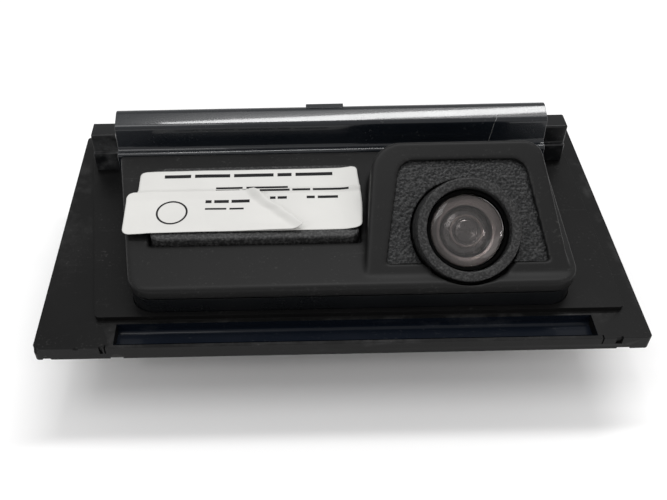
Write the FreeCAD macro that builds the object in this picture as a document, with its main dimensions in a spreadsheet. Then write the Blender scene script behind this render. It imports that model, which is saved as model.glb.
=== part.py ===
import FreeCAD, Part

import math
import os
import re

import Sketcher

# A tailgate unit: a reversing camera in a hooded pod beside a rubber release pad, on one flange plate.
# Millimetres. +X runs along the plate, -Y towards the channel edge, +Z out of the tailgate.
# The origin is the middle of the plate, on its seating face.

SIZES = {
    # how far cutting shapes run past what they cut, and the gap where two faces only meet
    "cut_reach": 10.0,
    "cut_over": 1.0,
    "touch_gap": 0.02,
    # flange plate with its raised plateau and front channel
    "plate_width": 150.0,
    "plate_depth": 84.0,
    "plate_thick": 4.0,
    "plate_corner": 1.0,
    "plateau_rise": 1.5,
    "plateau_corner": 1.5,
    "plateau_front_gap": 8.6,
    "plateau_back_gap": 7.5,
    "plateau_right_gap": 4.6,
    "plateau_left_gap": 14.1,
    "side_lean": 9.0,
    "channel_rail": 1.0,
    "channel_width": 6.5,
    "channel_left_gap": 19.5,
    "channel_right_gap": 13.0,
    "channel_deep": 3.0,
    "drain_radius": 1.6,
    "drain_left_gap": 20.0,
    "drain_right_gap": 6.2,
    "drain_deep": 4.0,
    # foam seal and fixing studs under the plate
    "seal_margin": 1.5,
    "seal_width": 2.2,
    "seal_thick": 1.5,
    "stud_inset_x": 7.6,
    "stud_inset_y": 18.5,
    "stud_radius": 2.5,
    "stud_below": 14.0,
    "stud_bite": 2.5,
    "stud_foot_radius": 2.9,
    "stud_foot_thick": 1.0,
    # housing that stands in the plate
    "body_front": 32.0,
    "body_depth": 47.0,
    "body_right": 57.8,
    "body_left": 51.2,
    "body_corner": 6.0,
    "back_corner": 1.0,
    "body_wall": 2.0,
    "housing_top": 10.4,
    "housing_drop": 9.0,
    "collar_width": 4.6,
    "collar_thick": 2.0,
    "fit_gap": 0.15,
    "cover_thick": 2.0,
    "cover_lip": 2.5,
    "cover_lip_wall": 1.2,
    # face bezel
    "bezel_rise": 3.4,
    "bezel_lip": 0.4,
    "face_tilt": 4.9,
    "face_wall": 2.4,
    "bezel_edge": 0.8,
    "window_gap": 1.0,
    "window_front": 28.6,
    "window_back": 4.0,
    # glossy grip ridge and its two lugs
    "ridge_over_left": 1.25,
    "ridge_over_right": 1.5,
    "ridge_depth": 12.6,
    "ridge_ledge": 2.2,
    "ridge_ledge_rise": 0.3,
    "ridge_ledge_round": 1.76,
    "ridge_slope": 1.3,
    "ridge_rise": 9.5,
    "ridge_back_drop": 1.0,
    "ridge_back_slope": 2.4,
    "ridge_round": 1.8,
    "ridge_wall": 2.4,
    "ridge_rib": 8.0,
    "tab_left": 7.2,
    "tab_width": 10.6,
    "tab_rise": 1.4,
    "tab_depth": 2.2,
    "tab_root": 6.0,
    "lug_gap": 2.2,
    "lug_width": 7.0,
    "lug_front": 24.0,
    "lug_depth": 10.0,
    "lug_step_z": 6.1,
    "lug_top_rise": 5.7,
    "lug_top_depth": 6.0,
    "lug_setback": 1.2,
    "lug_peg_radius": 1.5,
    "lug_round": 0.6,
    # camera pod
    "pod_front": 29.2,
    "pod_tilt": 28.0,
    "pod_slope": 35.5,
    "pod_left": 6.0,
    "pod_right": 56.4,
    "pod_top_left": 9.6,
    "pod_top_right": 52.6,
    "pod_corner_left": 8.0,
    "pod_corner_right": 5.0,
    "pod_skin": 1.2,
    "pod_wall": 2.0,
    "pod_drop": 24.0,
    "pod_edge": 0.7,
    "well_front": 3.0,
    "well_slope": 30.3,
    "well_left": 11.5,
    "well_right": 51.4,
    "well_top_left": 16.2,
    "well_top_right": 47.8,
    "well_corner": 4.0,
    "insert_lap": 1.4,
    "insert_thick": 1.6,
    # camera, along its own tilted axis
    "camera_x": 31.6,
    "camera_y": 21.9,
    "camera_z": 22.2,
    "camera_tilt": 40.0,
    "ring_radius": 12.75,
    "ring_base_radius": 13.4,
    "ring_bore": 10.35,
    "ring_length": 11.5,
    "ring_flange_radius": 15.4,
    "ring_flange_thick": 1.5,
    "ring_gap": 0.3,
    "sleeve_over": 3.0,
    "glass_radius": 9.2,
    "glass_setback": 2.0,
    "glass_thick": 1.5,
    "glass_curve": 34.0,
    "glass_bulge": 0.5,
    "barrel_radius": 9.9,
    "barrel_setback": 0.3,
    "cone_depth": 3.2,
    "cone_edge": 0.5,
    "dome_radius": 6.2,
    "dome_curve": 8.5,
    "dome_rise": 2.6,
    "stop_bore": 1.7,
    "stop_thick": 1.2,
    "rear_lens_radius": 3.2,
    "rear_lens_thick": 2.4,
    "module_side": 22.0,
    "module_length": 9.0,
    "module_wall": 1.6,
    "board_thick": 1.6,
    "board_back_gap": 2.5,
    "board_edge_gap": 0.2,
    "sensor_side": 8.0,
    "sensor_thick": 1.1,
    "cap_thick": 1.6,
    "plug_radius": 3.0,
    "plug_length": 3.0,
    "plug_flange": 1.0,
    "plug_wall": 1.2,
    "cradle_wall": 2.0,
    "cradle_front": 21.0,
    "cradle_depth": 15.0,
    "cradle_height": 17.0,
    # release pad and its switch
    "pad_left": 47.6,
    "pad_width": 53.1,
    "pad_front": 17.8,
    "pad_depth": 26.0,
    "pad_corner": 3.0,
    "pad_proud": 1.6,
    "pad_gap": 0.4,
    "pad_edge": 0.7,
    "pad_travel": 1.0,
    "carrier_lap": 1.4,
    "carrier_thick": 1.2,
    "carrier_top": 12.35,
    "switch_length": 12.8,
    "switch_width": 6.5,
    "plunger_radius": 1.2,
    "plunger_gap": 0.05,
    "plunger_hold": 2.2,
    "plunger_end_gap": 0.2,
    "switch_clear": 0.95,
    "spring_spread": 19.0,
    "spring_radius": 2.4,
    "spring_wire": 0.25,
    "spring_turns": 5.0,
    "post_radius": 1.6,
    "post_length": 2.6,
    "switch_board_width": 50.0,
    "switch_board_depth": 20.0,
    "switch_board_z": 1.55,
    "tray_thick": 1.6,
    "tray_leg_radius": 2.2,
    # socket in the rear cover
    "socket_x": 21.8,
    "socket_y": 2.0,
    "socket_width": 22.0,
    "socket_depth": 12.0,
    "socket_wall": 1.5,
    "socket_below": 22.0,
    "socket_floor": 1.6,
    "pin_side": 0.9,
    "pin_pitch": 4.0,
    "pin_below": 16.8,
    # screws
    "screw_radius": 1.1,
    "screw_head_radius": 2.1,
    "screw_head_thick": 1.4,
    "screw_bite": 2.6,
    "collar_screw_front": 18.0,
    "collar_screw_back": 4.0,
    "cover_screw_x": 45.0,
    "boss_inset": 3.6,
    "boss_radius": 2.6,
    "boss_height": 6.0,
    # labels on the pad
    "label_thick": 0.15,
    "label_left_over": 6.4,
    "label_right_over": 0.9,
    "label_lower": 16.0,
    "label_split": 0.2,
}

doc = FreeCAD.newDocument("backup_camera")
sheet = doc.addObject("Spreadsheet::Sheet", "Sizes")
for row, (alias, number) in enumerate(SIZES.items(), start=1):
    sheet.set(f"A{row}", alias)
    sheet.set(f"B{row}", str(number))
    sheet.setAlias(f"B{row}", alias)
doc.recompute()

ORIGIN_POINT = (-1, 1)
nodes = []


def bound(text):
    """An expression on the sheet: every size named in the text is read from its cell."""
    return re.sub(r"[a-z][a-z_]+", lambda m: "Sizes." + m[0] if m[0] in SIZES else m[0], str(text))


def bind(item, prop, text):
    item.setExpression(prop, bound(text))


def place(item, x="0", y="0", z="0", tilt=None):
    """Put an item at x, y, z, and turn it about X by tilt."""
    if tilt is not None:
        item.Placement = FreeCAD.Placement(FreeCAD.Vector(), FreeCAD.Rotation(FreeCAD.Vector(1, 0, 0), 10))
        bind(item, "Placement.Rotation.Angle", tilt)
    for axis, text in zip("xyz", (x, y, z)):
        bind(item, "Placement.Base." + axis, text)
    return item


def keep(item, name):
    """Make an item a sub-part of the unit, under its own name."""
    item.Label = name
    nodes.append(item)
    return item


# ---- solids from primitives -------------------------------------------------------------------


def box(x, y, z, length, width, height):
    item = doc.addObject("Part::Box", "block")
    for prop, text in (("Length", length), ("Width", width), ("Height", height)):
        bind(item, prop, text)
    return place(item, x, y, z)


def cylinder(radius, height, x="0", y="0", z="0", tilt=None):
    item = doc.addObject("Part::Cylinder", "round")
    bind(item, "Radius", radius)
    bind(item, "Height", height)
    return place(item, x, y, z, tilt)


def cone(low_radius, high_radius, height, z):
    item = doc.addObject("Part::Cone", "taper")
    bind(item, "Radius1", low_radius)
    bind(item, "Radius2", high_radius)
    bind(item, "Height", height)
    return place(item, z=z)


def ball(radius, z):
    item = doc.addObject("Part::Sphere", "ball")
    bind(item, "Radius", radius)
    return place(item, z=z)


def cut(base, tool):
    item = doc.addObject("Part::Cut", "cut")
    item.Base, item.Tool = base, tool
    return item


def common(base, tool):
    item = doc.addObject("Part::Common", "common")
    item.Base, item.Tool = base, tool
    return item


def fuse(*items):
    item = doc.addObject("Part::MultiFuse", "fuse")
    item.Shapes = list(items)
    return item


def group(*items):
    item = doc.addObject("Part::Compound", "group")
    item.Links = list(items)
    return item


# ---- bodies from sketches ---------------------------------------------------------------------


def new_body():
    return doc.addObject("PartDesign::Body", "body")


def sketch(body, role, offset):
    """A sketch on one of the body's origin planes, moved along the plane's normal."""
    drawn = body.newObject("Sketcher::SketchObject", "outline")
    plane = [item for item in body.Origin.OriginFeatures if item.Role == role][0]
    drawn.AttachmentSupport = [(plane, "")]
    drawn.MapMode = "FlatFace"
    bind(drawn, "AttachmentOffset.Base.z", offset)
    return drawn


def outline(drawn, corners):
    """A closed outline of straight sides, each corner held at its two distances from the origin."""
    first = drawn.GeometryCount
    count = len(corners)
    turn = 2 * math.pi / count
    start = [FreeCAD.Vector(10 * math.cos(i * turn), 10 * math.sin(i * turn)) for i in range(count)]
    for i in range(count):
        drawn.addGeometry(Part.LineSegment(start[i], start[(i + 1) % count]))
    for i in range(count):
        after = first + (i + 1) % count
        drawn.addConstraint(Sketcher.Constraint("Coincident", first + i, 2, after, 1))
    for i, corner in enumerate(corners):
        for kind, text, now in zip(("DistanceX", "DistanceY"), corner, start[i]):
            held = drawn.addConstraint(Sketcher.Constraint(kind, *ORIGIN_POINT, first + i, 1, now))
            bind(drawn, f"Constraints[{held}]", text)


def circle(drawn, x, y, radius):
    ring = drawn.addGeometry(Part.Circle(FreeCAD.Vector(1, 1), FreeCAD.Vector(0, 0, 1), 1))
    for kind, text in (("DistanceX", x), ("DistanceY", y)):
        held = drawn.addConstraint(Sketcher.Constraint(kind, *ORIGIN_POINT, ring, 3, 1.0))
        bind(drawn, f"Constraints[{held}]", text)
    held = drawn.addConstraint(Sketcher.Constraint("Radius", ring, 1.0))
    bind(drawn, f"Constraints[{held}]", radius)


def rectangle(x_low, x_high, y_low, y_high):
    return [(x_low, y_low), (x_high, y_low), (x_high, y_high), (x_low, y_high)]


def raise_from(body, role, offset, length, *outlines):
    """Pad one or more outlines from the offset plane, along the plane's normal."""
    drawn = sketch(body, role, offset)
    for corners in outlines:
        outline(drawn, corners)
    feature = body.newObject("PartDesign::Pad", "pad")
    feature.Profile = drawn
    bind(feature, "Length", length)
    return feature


def sink_from(body, role, offset, length, *outlines):
    """Pocket one or more outlines from the offset plane, along the plane's normal."""
    drawn = sketch(body, role, offset)
    for corners in outlines:
        outline(drawn, corners)
    return pocket(body, drawn, length)


def pocket(body, drawn, length):
    doc.recompute()
    before = body.Shape.Volume
    feature = body.newObject("PartDesign::Pocket", "pocket")
    feature.Profile = drawn
    feature.Reversed = True
    bind(feature, "Length", length)
    doc.recompute()
    if not body.Shape.Volume < before:
        raise RuntimeError(body.Name + ": a pocket removed nothing")
    return feature


def round_edges(body, radius, chosen):
    """Fillet the edges whose two ends and middle pass the test."""
    doc.recompute()
    names, tip = [], body.Tip
    for index, edge in enumerate(body.Shape.Edges, start=1):
        ends = [vertex.Point for vertex in edge.Vertexes]
        if len(ends) == 2 and chosen(ends[0], ends[1]):
            names.append(f"Edge{index}")
    if not names:
        raise RuntimeError(body.Name + ": no edge to round")
    feature = body.newObject("PartDesign::Fillet", "fillet")
    feature.Base = (tip, names)
    bind(feature, "Radius", radius)
    doc.recompute()
    if "Invalid" in feature.State:
        raise RuntimeError(f"{body.Name}: rounding failed on {names}")
    return feature


def size(name):
    return SIZES[name]


def upright(a, b):
    return abs(a.x - b.x) < 0.01 and abs(a.y - b.y) < 0.01


def tall(a, b):
    """An upright edge that runs through both the plate and its plateau."""
    return upright(a, b) and abs(a.z - b.z) > size("plate_thick") + 0.1


def along_x(a, b):
    return abs(a.y - b.y) < 0.01 and abs(a.z - b.z) < 0.01


# ---- places shared by several pieces ----------------------------------------------------------

LEAN = "tan(side_lean)"
BODY_BACK = "(body_depth - body_front)"
BODY_BACK_LEFT = f"(-body_left - body_depth * {LEAN})"
FACE_FRONT_Z = "(housing_top + bezel_rise)"
TOP = "(plate_thick + plateau_rise)"
RIDGE_TOP = f"({FACE_FRONT_Z} + body_depth * tan(face_tilt) + ridge_rise)"
RIDGE_BACK = f"({BODY_BACK} + ridge_depth)"
RIDGE_LEFT = f"({BODY_BACK_LEFT} - ridge_over_left)"
RIDGE_RIGHT = "(body_right + ridge_over_right)"
PAD_BACK = "(pad_depth - pad_front)"
PAD_MIDDLE_X = "(pad_width / 2 - pad_left)"
PAD_MIDDLE_Y = "(pad_depth / 2 - pad_front)"
CARRIER_LOW = "(carrier_top - carrier_thick)"
BOARD_TOP = "(switch_board_z + board_thick)"
SWITCH_TOP = f"({CARRIER_LOW} - pad_travel - switch_clear)"
BOSS_LOW = "(cover_lip - housing_drop + fit_gap)"


def face_z(y):
    """Height of the sloping face at a place y."""
    return f"({FACE_FRONT_Z} + ({y} + body_front) * tan(face_tilt))"


def body_outline(grow):
    """The housing's plan, moved outwards by grow: straight on the right, leaning on the left."""
    side = f"({grow} / cos(side_lean))"
    front = f"(-body_front - {grow})"
    back = f"({BODY_BACK} + {grow})"
    left_front = f"(-body_left - {side} + ({grow}) * {LEAN})"
    left_back = f"({BODY_BACK_LEFT} - {side} - ({grow}) * {LEAN})"
    right = f"(body_right + {grow})"
    return [(left_front, front), (right, front), (right, back), (left_back, back)]


def at_front(y):
    return y < -size("body_front") + size("body_depth") / 2


def round_corners(body, front_radius, back_radius):
    """Round the upright corners of a piece that follows the housing's plan."""
    round_edges(body, front_radius, lambda a, b: upright(a, b) and at_front(a.y))
    round_edges(body, back_radius, lambda a, b: upright(a, b) and not at_front(a.y))


# ---- flange plate, its seal and studs ----------------------------------------------------------


def mounting_plate():
    body = new_body()
    half, deep = "plate_width / 2", "plate_depth / 2"
    raise_from(body, "XY_Plane", "0", "plate_thick", rectangle(f"-{half}", half, f"-{deep}", deep))
    round_edges(body, "plate_corner", upright)
    front = f"(plateau_front_gap - {deep})"
    back = f"({deep} - plateau_back_gap)"
    right = f"({half} - plateau_right_gap)"
    left = f"(plateau_left_gap - {half})"
    left_back = f"({left} - ({back} - {front}) * {LEAN})"
    raised = [(left, front), (right, front), (right, back), (left_back, back)]
    raise_from(body, "XY_Plane", "plate_thick", "plateau_rise", raised)
    doc.recompute()
    level = size("plate_thick")
    round_edges(body, "plateau_corner", lambda a, b: upright(a, b) and min(a.z, b.z) > level - 0.01)
    channel = rectangle(
        f"channel_left_gap - {half}",
        f"{half} - channel_right_gap",
        f"channel_rail - {deep}",
        f"channel_rail + channel_width - {deep}",
    )
    sink_from(body, "XY_Plane", "plate_thick - channel_deep", "channel_deep + plateau_rise", channel)
    sink_from(body, "XY_Plane", "0", TOP, body_outline("fit_gap"))
    round_edges(body, "body_corner + fit_gap", lambda a, b: tall(a, b) and at_front(a.y))
    round_edges(body, "back_corner + fit_gap", lambda a, b: tall(a, b) and not at_front(a.y))
    drains = sketch(body, "XZ_Plane", f"{deep} - drain_deep")
    circle(drains, f"drain_left_gap - {half}", "0", "drain_radius")
    circle(drains, f"{half} - drain_right_gap", "0", "drain_radius")
    pocket(body, drains, "drain_deep")
    holes = [cylinder("stud_radius", "stud_bite", x, y) for x, y in stud_places()]
    holes += [cylinder("screw_radius", "screw_bite", x, y) for x, y in collar_screw_places()]
    holes += [cylinder("screw_radius", TOP, x, y) for x, y in ridge_screw_places()]
    holes += [cylinder("lug_peg_radius", TOP, x, y) for x, y in lug_peg_places()]
    keep(cut(body, group(*holes)), "mounting_plate")


def stud_places():
    x = "(plate_width / 2 - stud_inset_x)"
    y = "(plate_depth / 2 - stud_inset_y)"
    return [(f"{a}{x}", f"{b}{y}") for a in ("-", "") for b in ("-", "")]


def collar_screw_places():
    """Two screws on each side strip of the collar; the left strip leans with the housing."""
    places = []
    for y in ("(-collar_screw_front)", "collar_screw_back"):
        left = f"(-body_left - ({y} + body_front) * {LEAN} - collar_width / 2 / cos(side_lean))"
        places += [(left, y), ("(body_right + collar_width / 2)", y)]
    return places


def ridge_screw_places():
    y = f"({RIDGE_BACK} - ridge_rib / 2)"
    middle = f"(({RIDGE_LEFT} + {RIDGE_RIGHT}) / 2)"
    left = f"({RIDGE_LEFT} + ridge_wall + ridge_rib)"
    right = f"({RIDGE_RIGHT} - ridge_wall - ridge_rib)"
    return [(x, y) for x in (left, middle, right)]


def lug_spans():
    """The left and right ends of each lug along X."""
    left_in = f"({RIDGE_LEFT} - lug_gap)"
    right_in = f"({RIDGE_RIGHT} + lug_gap)"
    return {"left": (f"({left_in} - lug_width)", left_in), "right": (right_in, f"({right_in} + lug_width)")}


def lug_peg_places():
    y = "(lug_front + lug_setback + lug_top_depth / 2)"
    return [(f"(({low} + {high}) / 2)", y) for low, high in lug_spans().values()]


def perimeter_seal():
    body = new_body()
    rings = []
    for inset in ("seal_margin", "(seal_margin + seal_width)"):
        half, deep = f"(plate_width / 2 - {inset})", f"(plate_depth / 2 - {inset})"
        rings.append(rectangle(f"-{half}", half, f"-{deep}", deep))
    raise_from(body, "XY_Plane", "-seal_thick", "seal_thick", *rings)
    keep(body, "perimeter_seal")


def fixing_studs():
    studs = []
    for x, y in stud_places():
        shaft = cylinder("stud_radius", "stud_below + stud_bite", x, y, "-stud_below")
        foot = cylinder("stud_foot_radius", "stud_foot_thick", x, y, "-stud_foot_thick")
        studs.append(fuse(shaft, foot))
    keep(group(*studs), "fixing_studs")


def screw(x, y, head_z, reach):
    """A pan-head screw pointing up, with the underside of its head at head_z."""
    shank = cylinder("screw_radius", reach, x, y, head_z)
    head = cylinder("screw_head_radius", "screw_head_thick", x, y, f"{head_z} - screw_head_thick")
    return fuse(shank, head)


# ---- housing and rear cover --------------------------------------------------------------------


def lower_housing():
    body = new_body()
    raise_from(body, "XY_Plane", "-housing_drop", "housing_drop + housing_top", body_outline("0"))
    round_corners(body, "body_corner", "back_corner")
    collar = body_outline("collar_width")
    raise_from(body, "XY_Plane", "-collar_thick", "collar_thick", collar)
    sink_from(body, "XY_Plane", "-housing_drop", "housing_drop + housing_top", body_outline("(-body_wall)"))
    bosses = [cylinder("boss_radius", "boss_height", x, y, BOSS_LOW) for x, y in cover_screw_places()]
    collar_screws, low = collar_screw_places(), "-collar_thick"
    holes = [cylinder("screw_radius", "collar_thick", x, y, low) for x, y in collar_screws]
    holes += [cylinder("screw_radius", "screw_bite", x, y, BOSS_LOW) for x, y in cover_screw_places()]
    keep(cut(fuse(body, *bosses), group(*holes)), "lower_housing")


def housing_screws():
    reach = "(collar_thick + screw_bite)"
    screws = [screw(x, y, "-collar_thick", reach) for x, y in collar_screw_places()]
    keep(group(*screws), "housing_screws")


def cover_screw_places():
    front = "(-body_front + boss_inset)"
    back = f"({BODY_BACK} - boss_inset)"
    return [(f"{side}cover_screw_x", y) for side in ("-", "") for y in (front, back)]


def rear_cover():
    body = new_body()
    raise_from(body, "XY_Plane", "-housing_drop - cover_thick", "cover_thick", body_outline("0"))
    round_corners(body, "body_corner", "back_corner")
    lip = [body_outline("(-body_wall - fit_gap)"), body_outline("(-body_wall - fit_gap - cover_lip_wall)")]
    raise_from(body, "XY_Plane", "-housing_drop", "cover_lip", *lip)
    low = "-housing_drop - cover_thick"
    holes = [box(*socket_corner("socket_wall", low), *socket_size("socket_wall"), "cover_thick")]
    through = "cover_thick + cover_lip"
    holes += [cylinder("screw_radius", through, x, y, low) for x, y in cover_screw_places()]
    keep(cut(body, group(*holes)), "rear_cover")


def cover_screws():
    low = "(-housing_drop - cover_thick)"
    reach = f"({BOSS_LOW} - {low} + screw_bite)"
    screws = [screw(x, y, low, reach) for x, y in cover_screw_places()]
    keep(group(*screws), "cover_screws")


def socket_corner(inset, z):
    x = f"-socket_x - socket_width / 2 + {inset}"
    y = f"socket_y - socket_depth / 2 + {inset}"
    return x, y, z


def socket_size(inset):
    return f"socket_width - 2 * {inset}", f"socket_depth - 2 * {inset}"


def socket_shell():
    """The plug socket: a collar below the cover, its floor and pin block held in the cover's window."""
    low, cover_low = "-socket_below", "-housing_drop - cover_thick"
    outer = box(*socket_corner("0", low), *socket_size("0"), "socket_below - housing_drop - cover_thick")
    neck = box(*socket_corner("socket_wall", cover_low), *socket_size("socket_wall"), "cover_thick")
    hollow_height = "socket_below - housing_drop - cover_thick - socket_floor"
    hollow = box(*socket_corner("socket_wall", low), *socket_size("socket_wall"), hollow_height)
    pin_holes = [pin(x, y) for x, y in pin_places()]
    keep(cut(cut(fuse(outer, neck), hollow), group(*pin_holes)), "socket_shell")


def pin_places():
    return [(f"(-socket_x + {i} * pin_pitch)", "socket_y") for i in (-1.5, -0.5, 0.5, 1.5)]


def pin(x, y):
    side = "pin_side"
    height = "pin_below - housing_drop + cover_lip"
    return box(f"{x} - pin_side / 2", f"{y} - pin_side / 2", "-pin_below", side, side, height)


def socket_pins():
    keep(group(*[pin(x, y) for x, y in pin_places()]), "socket_pins")


# ---- face bezel --------------------------------------------------------------------------------


def above_face(offset):
    """Side view of the space above the sloping face, moved up by offset."""
    y_low, y_high = "(-body_front - cut_reach)", f"({BODY_BACK} + cut_reach)"
    ceiling = f"({RIDGE_TOP} + 2 * cut_reach)"
    low, high = f"{face_z(y_low)} + {offset}", f"{face_z(y_high)} + {offset}"
    return [(y_low, low), (y_high, high), (y_high, ceiling), (y_low, ceiling)]


def window_in_bezel():
    reach = "(ring_flange_radius + window_gap)"
    return rectangle(f"camera_x - {reach}", f"camera_x + {reach}", "-window_front", "window_back")


def pad_outline(grow):
    left, right = f"-pad_left - {grow}", f"pad_width - pad_left + {grow}"
    return rectangle(left, right, f"-pad_front - {grow}", f"{PAD_BACK} + {grow}")


def front_outline(grow):
    """The housing's plan, grown on every side but the back, where the ridge stands."""
    corners = body_outline(grow)
    return corners[:2] + [(corners[2][0], BODY_BACK), (corners[3][0], BODY_BACK)]


def face_bezel():
    body = new_body()
    height = f"{face_z(BODY_BACK)} + cut_over - housing_top"
    raise_from(body, "XY_Plane", "housing_top", height, front_outline("bezel_lip"))
    round_edges(body, "body_corner", lambda a, b: upright(a, b) and at_front(a.y))
    sink_from(body, "YZ_Plane", "-plate_width / 2", "plate_width", above_face("0"))
    rim = size("housing_top") + 0.1
    round_edges(body, "bezel_edge", lambda a, b: min(a.z, b.z) > rim and a.y + b.y < 2 * edge_back())
    under = new_body()
    raise_from(under, "XY_Plane", "housing_top", height, body_outline("(-body_wall)"))
    sink_from(under, "YZ_Plane", "-plate_width / 2", "plate_width", above_face("-face_wall"))
    shell = cut(body, under)
    openings = new_body()
    raise_from(openings, "XY_Plane", "housing_top", height, window_in_bezel(), pad_outline("pad_gap"))
    keep(cut(cut(shell, openings), ring_sleeve("ring_gap")), "face_bezel")


def edge_back():
    return size("body_depth") - size("body_front") - 0.5


def ring_sleeve(gap):
    """The round space that the camera ring passes through, along the camera's axis."""
    low = "(ring_length + sleeve_over)"
    return cylinder(
        f"ring_base_radius + {gap}",
        f"{low} + 2 * sleeve_over",
        "camera_x",
        f"-camera_y + {low} * sin(camera_tilt)",
        f"camera_z - {low} * cos(camera_tilt)",
        "camera_tilt",
    )


# ---- grip ridge and lugs -----------------------------------------------------------------------


def grip_ridge():
    body = new_body()
    front = BODY_BACK
    ledge_z = f"({face_z(BODY_BACK)} + ridge_ledge_rise)"
    wall_y = f"({front} + ridge_ledge)"
    side = [
        (front, TOP),
        (front, ledge_z),
        (wall_y, ledge_z),
        (f"{wall_y} + ridge_slope", RIDGE_TOP),
        (f"{RIDGE_BACK} - ridge_back_slope", f"{RIDGE_TOP} - ridge_back_drop"),
        (RIDGE_BACK, TOP),
    ]
    length = f"{RIDGE_RIGHT} - {RIDGE_LEFT}"
    raise_from(body, "YZ_Plane", RIDGE_LEFT, length, side)
    doc.recompute()
    top = body.Shape.BoundBox.ZMax
    wall = size("body_depth") - size("body_front") + size("ridge_ledge")
    round_edges(body, "ridge_round", lambda a, b: along_x(a, b) and a.z > top - 2)
    round_edges(body, "ridge_ledge_round", lambda a, b: along_x(a, b) and abs(a.y - wall) < 0.01)
    tab = rectangle(
        "-tab_left", "tab_width - tab_left", f"{RIDGE_BACK} - ridge_back_slope - tab_depth",
        f"{RIDGE_BACK} - ridge_back_slope",
    )
    raise_from(body, "XY_Plane", f"{RIDGE_TOP} - tab_root", "tab_root - ridge_back_drop + tab_rise", tab)
    sink_from(body, "XY_Plane", TOP, f"{RIDGE_TOP} - {TOP} - 2 * ridge_wall", *ridge_hollows())
    holes = [cylinder("screw_radius", "screw_bite", x, y, TOP) for x, y in ridge_screw_places()]
    keep(cut(body, group(*holes)), "grip_ridge")


def ridge_hollows():
    """Two hollows under the ridge, between its screw ribs."""
    middle = f"(({RIDGE_LEFT} + {RIDGE_RIGHT}) / 2)"
    rib = "(ridge_rib / 2)"
    left = f"({RIDGE_LEFT} + ridge_wall + 1.5 * ridge_rib)"
    right = f"({RIDGE_RIGHT} - ridge_wall - 1.5 * ridge_rib)"
    low = f"({BODY_BACK} + ridge_ledge + ridge_slope + ridge_wall)"
    high = f"({RIDGE_BACK} - 2 * ridge_wall)"
    return [
        rectangle(left, f"({middle} - {rib})", low, high),
        rectangle(f"({middle} + {rib})", right, low, high),
    ]


def ridge_screws():
    reach = f"({TOP} + screw_bite)"
    screws = [screw(x, y, "0", reach) for x, y in ridge_screw_places()]
    keep(group(*screws), "ridge_screws")


def lug(side):
    low, high = lug_spans()[side]
    body = new_body()
    step_y = "(lug_front + lug_setback)"
    top = f"({TOP} + lug_step_z + lug_top_rise)"
    shape = [
        ("lug_front", TOP),
        ("lug_front", f"{TOP} + lug_step_z"),
        (step_y, f"{TOP} + lug_step_z"),
        (step_y, top),
        (f"{step_y} + lug_top_depth", top),
        ("lug_front + lug_depth", TOP),
    ]
    raise_from(body, "YZ_Plane", low, "lug_width", shape)
    doc.recompute()
    summit = body.Shape.BoundBox.ZMax
    round_edges(body, "lug_round", lambda a, b: along_x(a, b) and a.z > summit - 0.01)
    x = f"(({low} + {high}) / 2)"
    peg_y = "(lug_front + lug_setback + lug_top_depth / 2)"
    peg = cylinder("lug_peg_radius", f"{TOP} + cut_over", x, peg_y)
    keep(fuse(body, peg), "end_lug_" + side)


# ---- camera pod --------------------------------------------------------------------------------


def pod_frame(body):
    """Set a body in the pod's own frame: +Y up its slope, +Z out of it, origin at its front line."""
    return place(body, "0", "-pod_front", face_z("-pod_front"), "pod_tilt")


def below_face(body):
    """Cut away what lies under the sloping face, in the pod's frame."""
    far = "(2 * pod_slope)"
    drop = "tan(pod_tilt - face_tilt)"
    side = [
        (f"-{far}", f"{far} * {drop}"),
        (far, f"-{far} * {drop}"),
        (far, f"-2 * {far}"),
        (f"-{far}", f"-2 * {far}"),
    ]
    sink_from(body, "YZ_Plane", "-plate_width / 2", "plate_width", side)


def slope_outline(left, right, top_left, top_right, low, high):
    return [(left, low), (right, low), (top_right, high), (top_left, high)]


def camera_pod():
    body = new_body()
    outer = slope_outline("pod_left", "pod_right", "pod_top_left", "pod_top_right", "0", "pod_slope")
    raise_from(body, "XY_Plane", "-pod_drop", "pod_drop", outer)
    half_way = size("pod_slope") / 2
    middle = (size("pod_left") + size("pod_right")) / 2
    for side, radius in ((-1, "pod_corner_left"), (1, "pod_corner_right")):
        round_edges(body, radius, lambda a, b: upright(a, b) and a.y > half_way and side * (a.x - middle) > 0)
    inner = slope_outline(
        "pod_left + 3 * pod_wall", "pod_right - 3 * pod_wall", "pod_top_left + pod_wall",
        "pod_top_right - pod_wall", "pod_wall", "pod_slope - pod_wall",
    )
    sink_from(body, "XY_Plane", "-pod_drop", "pod_drop - pod_skin", inner)
    seat = well_outline("(insert_lap + fit_gap)")
    sink_from(body, "XY_Plane", "-pod_skin - insert_thick", "insert_thick", seat)
    sink_from(body, "XY_Plane", "-pod_skin", "pod_skin", well_outline("0"))
    low, high = size("well_slope") / 2, size("well_slope") + size("cut_over")
    round_edges(body, "well_corner", lambda a, b: in_skin(a, b) and low < a.y < high)
    below_face(body)
    round_edges(body, "pod_edge", on_rim)
    pod_frame(body)
    keep(cut(body, ring_sleeve("ring_gap")), "camera_pod")


def in_skin(a, b):
    return upright(a, b) and max(a.z, b.z) > -0.01 and min(a.z, b.z) > -size("pod_skin") - 0.01


def on_rim(a, b):
    """The pod's outer top edge: both ends in its top plane, outside the well."""
    flat = abs(a.z) < 0.01 and abs(b.z) < 0.01
    inside = all(
        size("well_left") - 1 < p.x < size("well_right") + 1 and p.y < size("well_slope") + 1 for p in (a, b)
    )
    return flat and not inside and max(a.y, b.y) > 1


def well_outline(grow):
    return slope_outline(
        f"well_left - {grow}", f"well_right + {grow}", f"well_top_left - {grow}", f"well_top_right + {grow}",
        f"well_front - {grow}", f"well_slope + {grow}",
    )


def pod_insert():
    body = new_body()
    raise_from(body, "XY_Plane", "-pod_skin - insert_thick", "insert_thick", well_outline("insert_lap"))
    below_face(body)
    pod_frame(body)
    keep(cut(body, ring_sleeve("ring_gap")), "pod_insert")


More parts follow.
